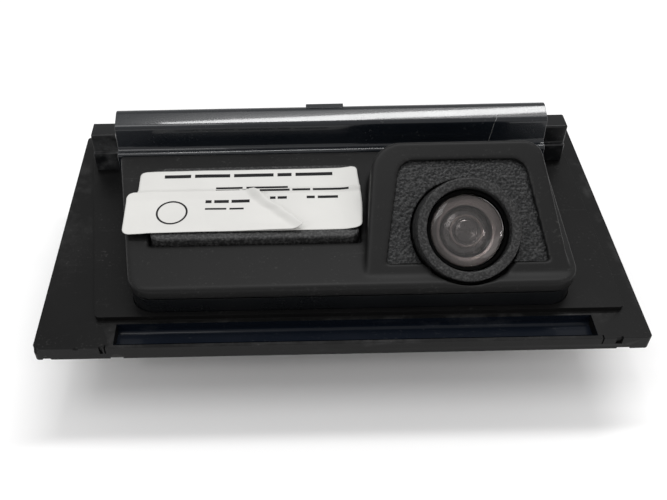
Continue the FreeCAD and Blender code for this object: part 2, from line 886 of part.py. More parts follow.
# ---- camera, each piece along its tilted axis with z = 0 at the ring's front ------------------


def on_camera_axis(item):
    """Move an item, drawn about the camera's own axis, to the camera's place and tilt."""
    return place(group(item), "camera_x", "-camera_y", "camera_z", "camera_tilt")


def camera_piece(item, name):
    keep(on_camera_axis(item), name)


GLASS_BACK = "(glass_setback + glass_thick)"
CONE_BACK = f"({GLASS_BACK} + cone_depth)"
BARREL_BACK = "(ring_length + ring_flange_thick)"
MODULE_BACK = f"({BARREL_BACK} + module_length)"
STOP_BACK = f"({CONE_BACK} + stop_thick)"


def disc(radius, front, back):
    return cylinder(radius, f"({back}) - ({front})", z=f"-({back})")


def camera_ring():
    taper = cone("ring_base_radius", "ring_radius", "ring_length", "-ring_length")
    flange = disc("ring_flange_radius", "ring_length", BARREL_BACK)
    bore = disc("ring_bore", "-cut_over", f"{BARREL_BACK} + cut_over")
    camera_piece(cut(fuse(taper, flange), bore), "camera_ring")


def lens_barrel():
    tube = disc("barrel_radius", "(glass_setback + barrel_setback)", BARREL_BACK)
    seat = disc("glass_radius", "0", GLASS_BACK)
    cone_seat = disc("glass_radius", GLASS_BACK, CONE_BACK)
    bore = disc("rear_lens_radius", CONE_BACK, f"{BARREL_BACK} + cut_over")
    stop_seat = disc("dome_radius", CONE_BACK, STOP_BACK)
    camera_piece(cut(tube, fuse(seat, cone_seat, bore, stop_seat)), "lens_barrel")


def front_glass():
    plate = disc("glass_radius", "0", GLASS_BACK)
    dome = ball("glass_curve", "-glass_setback - glass_curve + glass_bulge")
    camera_piece(common(plate, dome), "front_glass")


def lens_cone():
    """The bright funnel between the front glass and the inner lens."""
    outer = disc("glass_radius", GLASS_BACK, CONE_BACK)
    funnel = cone("dome_radius + touch_gap", "glass_radius - cone_edge", "cone_depth", f"-{CONE_BACK}")
    camera_piece(cut(outer, funnel), "lens_cone")


def inner_lens():
    low = f"-{CONE_BACK}"
    dome = ball("dome_curve", f"{low} + dome_rise - dome_curve")
    camera_piece(common(disc("dome_radius", GLASS_BACK, CONE_BACK), dome), "inner_lens")


def aperture_stop():
    ring = disc("dome_radius", CONE_BACK, STOP_BACK)
    camera_piece(cut(ring, disc("stop_bore", CONE_BACK, STOP_BACK)), "aperture_stop")


def rear_lens():
    camera_piece(disc("rear_lens_radius", STOP_BACK, f"({STOP_BACK} + rear_lens_thick)"), "rear_lens")


def square(side, front, back):
    return box(f"-{side} / 2", f"-{side} / 2", f"-({back})", side, side, f"({back}) - ({front})")


def camera_case():
    block = square("module_side", BARREL_BACK, MODULE_BACK)
    inside = "(module_side - 2 * module_wall)"
    hollow = square(inside, f"({BARREL_BACK} + module_wall)", f"({MODULE_BACK} + cut_over)")
    light_hole = disc("rear_lens_radius", "0", f"({MODULE_BACK} - cut_over)")
    camera_piece(cut(cut(block, hollow), light_hole), "camera_case")


BOARD_FRONT = f"({MODULE_BACK} - board_back_gap - board_thick)"


def image_sensor():
    camera_piece(square("sensor_side", f"({BOARD_FRONT} - sensor_thick)", BOARD_FRONT), "image_sensor")


def camera_board():
    side = "(module_side - 2 * module_wall - 2 * board_edge_gap)"
    camera_piece(square(side, BOARD_FRONT, f"({BOARD_FRONT} + board_thick)"), "camera_board")


def camera_cap():
    lid = square("module_side", MODULE_BACK, f"({MODULE_BACK} + cap_thick)")
    hole = disc("plug_radius", "0", f"({MODULE_BACK} + cap_thick + cut_over)")
    camera_piece(cut(lid, hole), "camera_cap")


def camera_outlet():
    """The sealed outlet of the camera's own short lead, in the rear cap."""
    back = f"({MODULE_BACK} + cap_thick)"
    collar = disc("(plug_radius + plug_flange)", back, f"({back} + plug_length)")
    tube = disc("plug_radius", MODULE_BACK, f"({back} + plug_length)")
    hole = disc("(plug_radius - plug_wall)", "0", f"({back} + plug_length + cut_over)")
    camera_piece(cut(fuse(collar, tube), hole), "camera_outlet")


def camera_cradle():
    """A saddle on the rear cover that holds the tilted camera case from below."""
    width = "(module_side + 2 * cradle_wall)"
    block = box(
        f"camera_x - {width} / 2", "-cradle_front", "-housing_drop", width, "cradle_depth", "cradle_height"
    )
    case = square("module_side", "0", f"({MODULE_BACK} + cap_thick)")
    below = f"({MODULE_BACK} + cap_thick + 4 * plug_length)"
    outlet = disc("(plug_radius + plug_flange + fit_gap)", "0", below)
    flange = disc("(ring_flange_radius + fit_gap)", "0", BARREL_BACK)
    keep(cut(block, on_camera_axis(fuse(case, outlet, flange))), "camera_cradle")


# ---- release pad and switch --------------------------------------------------------------------


def release_pad():
    body = new_body()
    height = f"{face_z(PAD_BACK)} + pad_proud + cut_over - carrier_top"
    raise_from(body, "XY_Plane", "carrier_top", height, pad_outline("0"))
    round_edges(body, "pad_corner - pad_gap", upright)
    sink_from(body, "YZ_Plane", "-plate_width / 2", "plate_width", above_face("pad_proud"))
    round_edges(body, "pad_edge", lambda a, b: min(a.z, b.z) > size("carrier_top") + size("cut_over"))
    keep(body, "release_pad")


def pad_carrier():
    body = new_body()
    raise_from(body, "XY_Plane", CARRIER_LOW, "carrier_thick", pad_outline("carrier_lap"))
    low = f"({CARRIER_LOW} - post_length)"
    posts = [cylinder("post_radius", "post_length", x, y, low) for x, y in spring_places()]
    keep(fuse(body, *posts), "pad_carrier")


def spring_places():
    return [(f"({PAD_MIDDLE_X} {sign} spring_spread)", PAD_MIDDLE_Y) for sign in "-+"]


def pad_springs():
    """Two coil springs between the board and the carrier, wound by Part's own helix."""
    wire = size("spring_wire")
    board_top = size("switch_board_z") + size("board_thick")
    height = size("carrier_top") - size("carrier_thick") - board_top - 2 * wire - 2 * size("touch_gap")
    middle_x = size("pad_width") / 2 - size("pad_left")
    middle_y = size("pad_depth") / 2 - size("pad_front")
    path = Part.makeHelix(height / size("spring_turns"), height, size("spring_radius"))
    start = FreeCAD.Vector(size("spring_radius"), 0, 0)
    section = Part.Wire(Part.makeCircle(wire, start, FreeCAD.Vector(0, 1, 0)))
    coil = Part.Wire(path).makePipeShell([section], True, True)
    springs = []
    for side in (-1, 1):
        turned = coil.copy()
        place_x = middle_x + side * size("spring_spread")
        turned.translate(FreeCAD.Vector(place_x, middle_y, board_top + wire + size("touch_gap")))
        springs.append(turned)
    item = doc.addObject("Part::Feature", "springs")
    item.Shape = Part.Compound(springs)
    keep(item, "pad_springs")


def switch_case():
    corner = (f"{PAD_MIDDLE_X} - switch_length / 2", f"{PAD_MIDDLE_Y} - switch_width / 2", BOARD_TOP)
    case = box(*corner, "switch_length", "switch_width", f"{SWITCH_TOP} - {BOARD_TOP}")
    low = f"({SWITCH_TOP} - plunger_hold - pad_travel - plunger_end_gap)"
    deep = f"{SWITCH_TOP} + cut_over - {low}"
    bore = cylinder("plunger_radius + plunger_gap", deep, PAD_MIDDLE_X, PAD_MIDDLE_Y, low)
    keep(cut(case, bore), "switch_case")


def switch_plunger():
    low = f"({SWITCH_TOP} - plunger_hold)"
    item = cylinder("plunger_radius", f"{CARRIER_LOW} - {low}", PAD_MIDDLE_X, PAD_MIDDLE_Y, low)
    keep(item, "switch_plunger")


def board_corner(z):
    return f"{PAD_MIDDLE_X} - switch_board_width / 2", f"{PAD_MIDDLE_Y} - switch_board_depth / 2", z


def switch_board():
    item = box(*board_corner("switch_board_z"), "switch_board_width", "switch_board_depth", "board_thick")
    keep(item, "switch_board")


def switch_tray():
    low = "(switch_board_z - tray_thick)"
    deck = box(*board_corner(low), "switch_board_width", "switch_board_depth", "tray_thick")
    legs = []
    for x_side in ("-", "+"):
        for y_side in ("-", "+"):
            x = f"{PAD_MIDDLE_X} {x_side} (switch_board_width / 2 - tray_leg_radius)"
            y = f"{PAD_MIDDLE_Y} {y_side} (switch_board_depth / 2 - tray_leg_radius)"
            legs.append(cylinder("tray_leg_radius", f"{low} + housing_drop", x, y, "-housing_drop"))
    keep(fuse(deck, *legs), "switch_tray")


# ---- paper labels on the pad -------------------------------------------------------------------


def label(name, left, right, front, back):
    """A thin paper label lying on the sloping top of the pad."""
    body = new_body()
    low_front, low_back = (f"({face_z(y)} + pad_proud + touch_gap)" for y in (front, back))
    side = [
        (front, low_front),
        (back, low_back),
        (back, f"{low_back} + label_thick"),
        (front, f"{low_front} + label_thick"),
    ]
    raise_from(body, "YZ_Plane", left, f"{right} - {left}", side)
    keep(body, name)


def labels():
    left, right, split = "(-pad_left)", "(pad_width - pad_left)", "(label_lower - pad_front)"
    label("lower_label", f"({left} - label_left_over)", f"({right} + label_right_over)", "-pad_front", split)
    label("upper_label", left, right, f"({split} + label_split)", PAD_BACK)


def build():
    mounting_plate()
    perimeter_seal()
    fixing_studs()
    lower_housing()
    housing_screws()
    rear_cover()
    cover_screws()
    socket_shell()
    socket_pins()
    face_bezel()
    grip_ridge()
    ridge_screws()
    lug("left")
    lug("right")
    camera_pod()
    pod_insert()
    camera_ring()
    lens_barrel()
    front_glass()
    lens_cone()
    inner_lens()
    aperture_stop()
    rear_lens()
    camera_case()
    image_sensor()
    camera_board()
    camera_cap()
    camera_outlet()
    camera_cradle()
    release_pad()
    pad_carrier()
    pad_springs()
    switch_case()
    switch_plunger()
    switch_board()
    switch_tray()
    labels()


def check():
    """Stop on any failed object and on any sub-part whose shape is empty or broken."""
    bad = [item.Name for item in doc.Objects if {"Invalid", "Error"} & set(item.State)]
    bad += [item.Label for item in nodes if item.Shape.isNull() or not item.Shape.isValid()]
    if bad:
        raise RuntimeError("failed: " + ", ".join(bad))


def export():
    os.makedirs("parts", exist_ok=True)
    for item in nodes:
        item.Shape.exportStep(os.path.join("parts", item.Label + ".step"))
        print(f"{item.Label:18s} solids {len(item.Shape.Solids):2d}  volume {item.Shape.Volume:10.1f}")


build()
doc.recompute()
check()
export()
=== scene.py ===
import math

import bmesh
import bpy
from mathutils import Matrix, Vector, noise


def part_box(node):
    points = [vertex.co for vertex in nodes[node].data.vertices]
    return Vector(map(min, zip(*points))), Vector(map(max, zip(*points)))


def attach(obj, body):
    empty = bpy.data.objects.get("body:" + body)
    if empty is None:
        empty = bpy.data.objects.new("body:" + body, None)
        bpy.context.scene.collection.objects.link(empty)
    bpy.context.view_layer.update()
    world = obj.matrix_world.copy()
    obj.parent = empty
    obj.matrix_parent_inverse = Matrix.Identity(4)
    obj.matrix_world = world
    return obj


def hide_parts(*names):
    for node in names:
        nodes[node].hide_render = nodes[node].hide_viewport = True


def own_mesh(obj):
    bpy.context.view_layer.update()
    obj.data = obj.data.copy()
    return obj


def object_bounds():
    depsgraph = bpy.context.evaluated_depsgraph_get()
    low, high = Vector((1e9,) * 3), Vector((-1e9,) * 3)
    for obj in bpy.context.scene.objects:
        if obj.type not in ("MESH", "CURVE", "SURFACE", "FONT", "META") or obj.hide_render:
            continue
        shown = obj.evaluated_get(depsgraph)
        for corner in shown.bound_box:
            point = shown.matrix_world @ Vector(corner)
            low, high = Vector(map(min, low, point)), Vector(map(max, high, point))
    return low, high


# Rear camera and release-pad unit. Metres; +X along the plate, -Y towards its channel, +Z outwards.

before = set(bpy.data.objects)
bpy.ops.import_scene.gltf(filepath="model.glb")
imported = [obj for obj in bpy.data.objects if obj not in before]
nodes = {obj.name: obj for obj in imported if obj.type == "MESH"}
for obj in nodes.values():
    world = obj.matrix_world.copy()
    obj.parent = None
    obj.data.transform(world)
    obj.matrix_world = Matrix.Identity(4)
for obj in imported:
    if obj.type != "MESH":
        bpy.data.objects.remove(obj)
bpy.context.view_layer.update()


# Flange plate: one satin black moulding with a raised plateau and a glossy channel along its front.
# Its arrises are soft, the front rail is slit at both ends of the channel, and one corner is chipped.
def cad_shape(node):
    """The node's own shape with its flat faces made whole, so that its edges can be softened."""
    bm = bmesh.new()
    bm.from_mesh(nodes[node].data)
    bmesh.ops.remove_doubles(bm, verts=bm.verts, dist=1e-6)
    bmesh.ops.dissolve_limit(bm, angle_limit=math.radians(0.6), verts=bm.verts, edges=bm.edges,
                             delimit={"NORMAL"})
    return bm


def piece_from(bm, name, material, body, slot, *stands_for):
    """Turn a bmesh into a shaded piece that rides on a body in place of its CAD nodes."""
    mesh = bpy.data.meshes.new(name)
    bm.to_mesh(mesh)
    bm.free()
    mesh.materials.append(material)
    mesh.polygons.foreach_set("use_smooth", [True] * len(mesh.polygons))
    mesh.set_sharp_from_angle(angle=math.radians(32))
    piece = bpy.data.objects.new(name, mesh)
    bpy.context.scene.collection.objects.link(piece)
    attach(piece, body)
    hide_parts(*stands_for)
    return piece


def soften(piece, width, segments=3, angle=28):
    """Round the arrises of a moulding, by a bevel on edges sharper than angle."""
    bevel = piece.modifiers.new("moulded_edges", "BEVEL")
    bevel.width = width
    bevel.segments = segments
    bevel.limit_method = "ANGLE"
    bevel.angle_limit = math.radians(angle)
    bevel.harden_normals = True


def new_group(name, inputs, outputs):
    """A shader group of values only: (name, kind, default) inputs and (name, kind) outputs."""
    group = bpy.data.node_groups.new(name, "ShaderNodeTree")
    for label, kind, value in inputs:
        socket = group.interface.new_socket(label, in_out="INPUT", socket_type=kind)
        socket.default_value = value
    for label, kind in outputs:
        group.interface.new_socket(label, in_out="OUTPUT", socket_type=kind)
    return group, group.nodes.new("NodeGroupInput"), group.nodes.new("NodeGroupOutput")


def add(tree, kind, settings=None, **values):
    """A shader node; values go to its inputs, with _ for a space in their names."""
    node = tree.nodes.new("ShaderNode" + kind)
    for key, value in (settings or {}).items():
        setattr(node, key, value)
    for key, value in values.items():
        node.inputs[key.replace("_", " ")].default_value = value
    return node


def math_node(tree, operation, a, b):
    """One sum on two sockets or numbers, held between 0 and 1."""
    node = tree.nodes.new("ShaderNodeMath")
    node.operation = operation
    node.use_clamp = operation in ("MULTIPLY", "ADD", "SUBTRACT")
    for socket, value in zip(node.inputs, (a, b)):
        if isinstance(value, (int, float)):
            socket.default_value = value
        else:
            tree.links.new(value, socket)
    return node.outputs[0]


# Spark-eroded grain, as moulded into the unit's plastics and rubber.
# A cell pattern broken up by noise, given as a bumped normal and a height.
grain_group, grain_in, grain_out = new_group(
    "moulded_grain",
    [("Density", "NodeSocketFloat", 2000.0), ("Depth", "NodeSocketFloat", 0.00002)],
    [("Normal", "NodeSocketVector"), ("Height", "NodeSocketFloat")],
)
place = add(grain_group, "TexCoord")
cells = add(grain_group, "TexVoronoi", {"feature": "SMOOTH_F1"})
grit = add(grain_group, "TexNoise", Detail=3.0, Roughness=0.6)
bump = add(grain_group, "Bump", Strength=0.8)
link = grain_group.links.new
for texture in (cells, grit):
    link(place.outputs["Object"], texture.inputs["Vector"])
    link(grain_in.outputs["Density"], texture.inputs["Scale"])
height = math_node(grain_group, "MULTIPLY", cells.outputs["Distance"], grit.outputs["Fac"])
link(height, bump.inputs["Height"])
link(grain_in.outputs["Depth"], bump.inputs["Distance"])
link(bump.outputs["Normal"], grain_out.inputs["Normal"])
link(height, grain_out.inputs["Height"])

# What handling leaves on used plastic: pale worn edges, settled dust and hairline scratches.
# Each is a mask from 0 to 1.
wear_group, wear_in, wear_out = new_group(
    "handling_wear",
    [("Edges", "NodeSocketFloat", 0.5), ("Dust", "NodeSocketFloat", 0.3),
     ("Scratches", "NodeSocketFloat", 0.3)],
    [("Edges", "NodeSocketFloat"), ("Dust", "NodeSocketFloat"), ("Scratches", "NodeSocketFloat")],
)
place = add(wear_group, "TexCoord")
shape = add(wear_group, "NewGeometry")
patches = add(wear_group, "TexNoise", Scale=140.0, Detail=5.0, Roughness=0.65)
specks = add(wear_group, "TexNoise", Scale=1500.0, Detail=2.0)
lines = add(wear_group, "TexNoise", Scale=60.0, Detail=6.0, Distortion=0.2)
stretch = add(wear_group, "Mapping", Rotation=(0.2, 0.1, 0.5), Scale=(0.35, 22.0, 3.0))
link = wear_group.links.new
link(place.outputs["Object"], patches.inputs["Vector"])
link(place.outputs["Object"], specks.inputs["Vector"])
link(place.outputs["Object"], stretch.inputs["Vector"])
link(stretch.outputs["Vector"], lines.inputs["Vector"])


def mask(value, low, high):
    """0 below low and 1 above high."""
    ramp = wear_group.nodes.new("ShaderNodeMapRange")
    ramp.inputs["From Min"].default_value = low
    ramp.inputs["From Max"].default_value = high
    link(value, ramp.inputs["Value"])
    return ramp.outputs["Result"]


patchy = mask(patches.outputs["Fac"], 0.46, 0.72)
edge = math_node(wear_group, "MULTIPLY", mask(shape.outputs["Pointiness"], 0.53, 0.62), patchy)
dust = math_node(wear_group, "MULTIPLY", mask(specks.outputs["Fac"], 0.6, 0.75), patchy)
scratch = math_node(wear_group, "MULTIPLY", mask(lines.outputs["Fac"], 0.66, 0.72), patchy)
for value, name in ((edge, "Edges"), (dust, "Dust"), (scratch, "Scratches")):
    link(math_node(wear_group, "MULTIPLY", value, wear_in.outputs[name]), wear_out.inputs[name])


def moulding(name, colour, other, rough, density, depth, edges=0.4, dusty=0.25, scratches=0.2, crest_highlight=0.0,
             **surface):
    """A moulded plastic or rubber: two close tones, grain, wear in the pale grey that it wears to, and a
    painted highlight on the grain's crests.
    """
    material = bpy.data.materials.new(name)
    material.use_nodes = True
    tree = material.node_tree
    shader = tree.nodes["Principled BSDF"]
    for key, value in surface.items():
        shader.inputs[key.replace("_", " ")].default_value = value
    grain = tree.nodes.new("ShaderNodeGroup")
    grain.node_tree = grain_group
    grain.inputs["Density"].default_value = density
    grain.inputs["Depth"].default_value = depth
    wear = tree.nodes.new("ShaderNodeGroup")
    wear.node_tree = wear_group
    for key, value in (("Edges", edges), ("Dust", dusty), ("Scratches", scratches)):
        wear.inputs[key].default_value = value
    place = add(tree, "TexCoord")
    tone = add(tree, "TexNoise", Scale=45.0, Detail=4.0)
    tree.links.new(place.outputs["Object"], tone.inputs["Vector"])
    layers = [(tone.outputs["Fac"], (*colour, 1), (*other, 1))]
    below = None
    worn = tuple(min(1.0, 0.1 + 2.2 * c) for c in other) + (1,)
    # Painted highlight: the grain's crests are made paler by their height.
    if crest_highlight:
        painted_crest_highlight = add(tree, "MapRange", From_Min=0.16, From_Max=0.34, To_Max=crest_highlight)
        tree.links.new(grain.outputs["Height"], painted_crest_highlight.inputs["Value"])
        layers.append((painted_crest_highlight.outputs["Result"], None, tuple(min(1.0, 0.05 + 2.0 * c) for c in other) + (1,)))
    for fac, a, b in layers + [(wear.outputs["Dust"], None, (0.3, 0.3, 0.29, 1)),
                               (wear.outputs["Scratches"], None, worn), (wear.outputs["Edges"], None, worn)]:
        mix = add(tree, "Mix", {"data_type": "RGBA"})
        tree.links.new(fac, mix.inputs["Factor"])
        if below is None:
            mix.inputs[6].default_value = a
        else:
            tree.links.new(below, mix.inputs[6])
        mix.inputs[7].default_value = b
        below = mix.outputs[2]
    tree.links.new(below, shader.inputs["Base Color"])
    haze = math_node(tree, "MULTIPLY", tone.outputs["Fac"], 0.22)
    haze = math_node(tree, "ADD", haze, wear.outputs["Dust"])
    tree.links.new(math_node(tree, "ADD", haze, rough - 0.1), shader.inputs["Roughness"])
    tree.links.new(grain.outputs["Normal"], shader.inputs["Normal"])
    return material


satin = moulding("satin_black", (0.0035, 0.0035, 0.0036), (0.006, 0.006, 0.006), rough=0.40, density=2600.0,
                 depth=0.000012, edges=0.2, dusty=0.12, scratches=0.15, Specular_IOR_Level=0.13)
plate_low, plate_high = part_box("mounting_plate")
plate = piece_from(cad_shape("mounting_plate"), "flange_plate", satin, "housing", "satin_shell",
                   "mounting_plate")
soften(plate, 0.00035)
slit_z, slit_tall = plate_low[2] + 0.0034, 0.003
slits = ((-0.0575, 0.00035, 0.0011), (0.0632, 0.00035, 0.0011), (0.0672, 0.0016, 0.0006),
         (-0.0585, 0.0008, 0.0006))
broken_spots = ((-0.0752, -0.0421, 0.0036, 0.0016), (-0.0722, -0.0424, 0.0003, 0.0012),
                (-0.0645, -0.0424, 0.0042, 0.0009))
broken_rough, broken_density = 0.0005, 1400
nicks = bmesh.new()
rail_y = plate_low[1]
for x, width, deep in slits:
    spot = Matrix.Translation((x, rail_y, slit_z)) @ Matrix.Diagonal((width, 2 * deep, slit_tall, 1))
    bmesh.ops.create_cube(nicks, size=1.0, matrix=spot)
for x, y, z, across in broken_spots:
    made = bmesh.ops.create_icosphere(nicks, subdivisions=3, radius=across,
                                      matrix=Matrix.Translation((x, y, z)))
    for vert in made["verts"]:
        vert.co += Vector((1.0, 0.6, 0.8)) * broken_rough * noise.noise(vert.co * broken_density)
nick_mesh = bpy.data.meshes.new("plate_nicks")
nicks.to_mesh(nick_mesh)
nicks.free()
nick_shape = bpy.data.objects.new("plate_nicks", nick_mesh)
bpy.context.scene.collection.objects.link(nick_shape)
chip = plate.modifiers.new("chips", "BOOLEAN")
chip.object = nick_shape
chip.solver = "EXACT"
bpy.context.view_layer.update()
chipped = bpy.data.meshes.new_from_object(plate.evaluated_get(bpy.context.evaluated_depsgraph_get()))
plate.modifiers.clear()
plate.data = chipped
bpy.data.objects.remove(nick_shape)

# Channel lining: the polished navy-black floor and walls of the channel, moulded in the same shot.
# A thin skin laid over the channel's three walls, rounded into the floor.
def rounded(points, radius, steps=5):
    """Round the inner corners of an open line of (radius, height) points."""
    line = [points[0]]
    for before, corner, after in zip(points, points[1:], points[2:]):
        a, b, c = (Vector(p) for p in (before, corner, after))
        reach = min(radius, (a - b).length / 2, (c - b).length / 2)
        start, end = b + (a - b).normalized() * reach, b + (c - b).normalized() * reach
        for i in range(steps + 1):
            t = i / steps
            line.append(tuple(start.lerp(b, t).lerp(b.lerp(end, t), t)))
    return line + [points[-1]]


channel_gloss = moulding("channel_gloss", (0.003, 0.005, 0.009), (0.006, 0.008, 0.013), rough=0.22,
                         density=900.0, depth=0.000003, edges=0.1, dusty=0.1, scratches=0.2,
                         Coat_Weight=0.08, Specular_IOR_Level=0.12)
left, right = plate_low[0] + 0.0195, plate_high[0] - 0.013
front, back = plate_low[1] + 0.001, plate_low[1] + 0.0075
floor_z, brim_z = plate_low[2] + 0.001, plate_low[2] + 0.004
section = rounded([(front, brim_z), (front, floor_z), (back, floor_z), (back, brim_z)], 0.0012, 6)
bm = bmesh.new()
rows = []
steps, skin, ripple = 60, 0.00012, 0.00005
for i in range(steps + 1):
    x = left + (right - left) * i / steps
    row = []
    for y, z in section:
        inward = skin if y < (front + back) / 2 else -skin
        row.append(bm.verts.new((x, y + inward,
                                 z + skin + ripple * noise.noise(Vector((x * 160, y * 300, 1))))))
    rows.append(row)
for a, b in zip(rows, rows[1:]):
    for i in range(len(section) - 1):
        bm.faces.new((a[i], a[i + 1], b[i + 1], b[i]))
for row in (rows[0], rows[-1]):
    bm.faces.new(row)
piece_from(bm, "channel_lining", channel_gloss, "housing", "gloss_shell", "mounting_plate")

# Housing wall and face bezel: two satin mouldings that meet in a step, the bezel a little proud.
# The wall stops short of the bezel, which leaves a thin shadow gap between them.
housing_finish = moulding("housing_satin", (0.003, 0.0035, 0.004), (0.006, 0.0065, 0.0075), rough=0.28,
                          density=3200.0, depth=0.000005, edges=0.4, dusty=0.1, scratches=0.06,
                          Specular_IOR_Level=0.3)
bezel_finish = moulding("bezel_satin", (0.008, 0.008, 0.0081), (0.012, 0.012, 0.012), rough=0.42,
                        density=2800.0, depth=0.00001, edges=0.35, dusty=0.15, scratches=0.2,
                        Specular_IOR_Level=0.14)
shell = piece_from(cad_shape("lower_housing"), "housing_shell", housing_finish, "housing", "satin_shell",
                   "lower_housing")
soften(shell, 0.0003)
shadow_gap = 0.0005
shell_top = max(v.co.z for v in shell.data.vertices)
for vert in shell.data.vertices:
    if vert.co.z > shell_top - 1e-5:
        vert.co.z -= shadow_gap

# Grip ridge: a polished navy-black bar along the back, screwed up through the plate, with a locating tab.
# A concave foot runs along its front; the two stepped lugs beside it match its polish.
ridge_gloss = moulding("ridge_gloss", (0.003, 0.0045, 0.007), (0.006, 0.008, 0.011), rough=0.24,
                       density=700.0, depth=0.000004, edges=0.15, dusty=0.08, scratches=0.15,
                       Coat_Weight=0.5, Coat_Roughness=0.06, Specular_IOR_Level=0.3)
lug_gloss = moulding("lug_gloss", (0.003, 0.0033, 0.0038), (0.007, 0.0074, 0.008), rough=0.3, density=900.0,
                     depth=0.000004, edges=0.5, dusty=0.25, scratches=0.4, Coat_Weight=0.08,
                     Specular_IOR_Level=0.2)
ridge_low, ridge_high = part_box("grip_ridge")
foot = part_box("face_bezel")[1][2] + 0.0003
crown = ridge_high[2] - 0.0005
front, back = ridge_low[1], ridge_high[1]
corners = [(front, ridge_low[2]), (front, foot), (front + 0.0022, foot), (front + 0.0029, crown - 0.0020),
           (front + 0.0082, crown - 0.00028), (back - 0.0024, crown - 0.0013), (back, ridge_low[2])]
section = rounded(corners, 0.0011, 7)
bm = bmesh.new()
rows = []
count, wave_y, wave_z = 240, 0.00006, 0.00007
for i in range(count + 1):
    x = ridge_low[0] + (ridge_high[0] - ridge_low[0]) * i / count
    sink = Vector((x * 30, 0, 4))
    row = []
    for y, z in section:
        push = wave_y * noise.noise(sink + Vector((0, y * 90, 0)))
        lift = wave_z * noise.noise(sink + Vector((5, z * 90, 0)))
        row.append(bm.verts.new((x, y + push, z + lift)))
    rows.append(row)
for a, b in zip(rows, rows[1:]):
    for i in range(len(section)):
        j = (i + 1) % len(section)
        bm.faces.new((a[i], a[j], b[j], b[i]))
bm.faces.new(rows[0])
bm.faces.new(rows[-1][::-1])
tab_middle, tab_size = (-0.0019, back - 0.0036, crown - 0.0020), (0.0104, 0.002, 0.0034, 1)
tab = Matrix.Translation(tab_middle) @ Matrix.Diagonal(tab_size)
bmesh.ops.create_cube(bm, size=1.0, matrix=tab)
bmesh.ops.recalc_face_normals(bm, faces=bm.faces)
ridge = piece_from(bm, "ridge_bar", ridge_gloss, "housing", "gloss_shell", "grip_ridge")
soften(ridge, 0.0008, 4, 50)
for side in ("left", "right"):
    lug = piece_from(cad_shape("end_lug_" + side), "lug_" + side, lug_gloss, "housing", "gloss_shell",
                     "end_lug_" + side)
    soften(lug, 0.0005)

# Bezel and camera pod: satin mouldings whose face, rim, wall and foot run softly into each other.
# They are joined over small fillets at the pod's foot and relaxed into one skin.
def relaxed(piece, voxel, rounds, grain_size=0.0, grain_depth=0.0):
    """Remesh a piece to even faces, relax it, and raise a grain on it, all as plain mesh."""
    remesh = piece.modifiers.new("even", "REMESH")
    remesh.mode = "VOXEL"
    remesh.voxel_size = voxel
    remesh.use_smooth_shade = True
    relax = piece.modifiers.new("relax", "SMOOTH")
    relax.factor = 0.5
    relax.iterations = rounds
    if grain_depth:
        texture = bpy.data.textures.new(piece.name + "_grain", "VORONOI")
        texture.noise_scale = grain_size
        raise_grain = piece.modifiers.new("grain", "DISPLACE")
        raise_grain.texture = texture
        raise_grain.strength = grain_depth
        raise_grain.mid_level = 0.5
    bpy.context.view_layer.update()
    mesh = bpy.data.meshes.new_from_object(piece.evaluated_get(bpy.context.evaluated_depsgraph_get()))
    piece.modifiers.clear()
    piece.data = mesh


bm = cad_shape("face_bezel")
bm.from_mesh(nodes["camera_pod"].data)
pod_low, pod_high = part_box("camera_pod")
ring_low, ring_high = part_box("camera_ring")
foot_y, foot_z = pod_low[1] + 0.0014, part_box("face_bezel")[0][2] + 0.0026
fill_deep, fill_tall = 0.0034, 0.0022
for left, right in ((pod_low[0] + 0.001, ring_low[0] + 0.0062), (ring_high[0] - 0.0062, pod_high[0] - 0.001)):
    fill_size = (right - left, fill_deep, fill_tall, 1)
    fill = Matrix.Translation(((left + right) / 2, foot_y, foot_z)) @ Matrix.Diagonal(fill_size)
    bmesh.ops.create_cube(bm, size=1.0, matrix=fill)
bezel = piece_from(bm, "bezel_and_pod", bezel_finish, "housing", "satin_shell", "face_bezel", "camera_pod")
relaxed(bezel, voxel=0.00042, rounds=9)

# Well insert: the coarse-grained panel that the camera stands in, set back inside the pod's rim.
# Its grain is real relief, and a painted highlight makes its crests paler.
insert_finish = moulding("coarse_grain", (0.00432, 0.00468, 0.00504), (0.00864, 0.009, 0.00936), rough=0.38,
                         density=1900.0, depth=0.00025, edges=0.4, dusty=0.2, scratches=0.1, crest_highlight=0.42,
                         Specular_IOR_Level=0.2)
insert = piece_from(cad_shape("pod_insert"), "well_panel", insert_finish, "housing", "grained_shell",
                    "pod_insert")
relaxed(insert, voxel=0.00022, rounds=1, grain_size=0.0009, grain_depth=0.0002)

# Camera: ring, blackened barrel and glass on one tilted axis, whose place is read from the CAD ring.
# The ring is grained like the well; its front is flat, with rounded inner and outer edges.
tilt = math.radians(40)
axis = Vector((0, -math.sin(tilt), math.cos(tilt)))
ring_points = [v.co.copy() for v in nodes["camera_ring"].data.vertices]
front_reach = max(p.dot(axis) for p in ring_points)
rim = [p for p in ring_points if p.dot(axis) > front_reach - 1e-5]
middle = sum(rim, Vector()) / len(rim)
middle.x = (min(p.x for p in rim) + max(p.x for p in rim)) / 2
camera_place = Matrix.Translation(middle) @ Matrix.Rotation(tilt, 4, "X")


def lathe(profile, segments, grain=0.0):
    """Turn (radius, height) points about Z; grain pushes each point in or out by fine noise."""
    bm = bmesh.new()
    rings = []
    for radius, height in profile:
        ring = []
        for i in range(segments):
            turn = 2 * math.pi * i / segments
            spot = Vector((radius * math.cos(turn), radius * math.sin(turn), height))
            if grain:
                lift = noise.noise(spot * 2600) * 0.6 + noise.noise(spot * 5200) * 0.4
                spot *= 1 + grain * lift / max(spot.length, 1e-4)
            ring.append(bm.verts.new(spot))
        rings.append(ring)
    for low, high in zip(rings, rings[1:]):
        for i in range(segments):
            j = (i + 1) % segments
            bm.faces.new((low[i], low[j], high[j], high[i]))
    return bm


